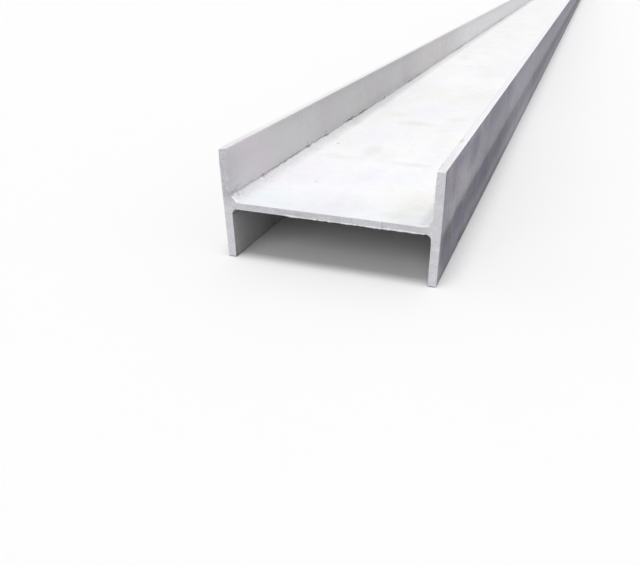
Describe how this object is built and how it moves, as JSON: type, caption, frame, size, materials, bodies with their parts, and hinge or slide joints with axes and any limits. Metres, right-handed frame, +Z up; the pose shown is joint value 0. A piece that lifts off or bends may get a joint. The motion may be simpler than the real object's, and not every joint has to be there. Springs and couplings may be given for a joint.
{
  "type": "steel h-beam",
  "caption": "Hot-rolled wide-flange steel H-beam, a straight stock length with parallel flanges, root fillets and square-cut ends, lying on its flange toes.",
  "frame": {"origin": "on the floor, midway along the beam and midway between the flanges", "axes": "+Z up and square to the web, +Y along the beam, +X across its depth from flange to flange"},
  "size_m": [0.2, 6, 0.1],
  "materials": {
    "matt_steel": "matt, light grey, pickled"
  },
  "bodies": {
    "root": {"h_beam": "matt_steel"}
  },
  "joints": []
}
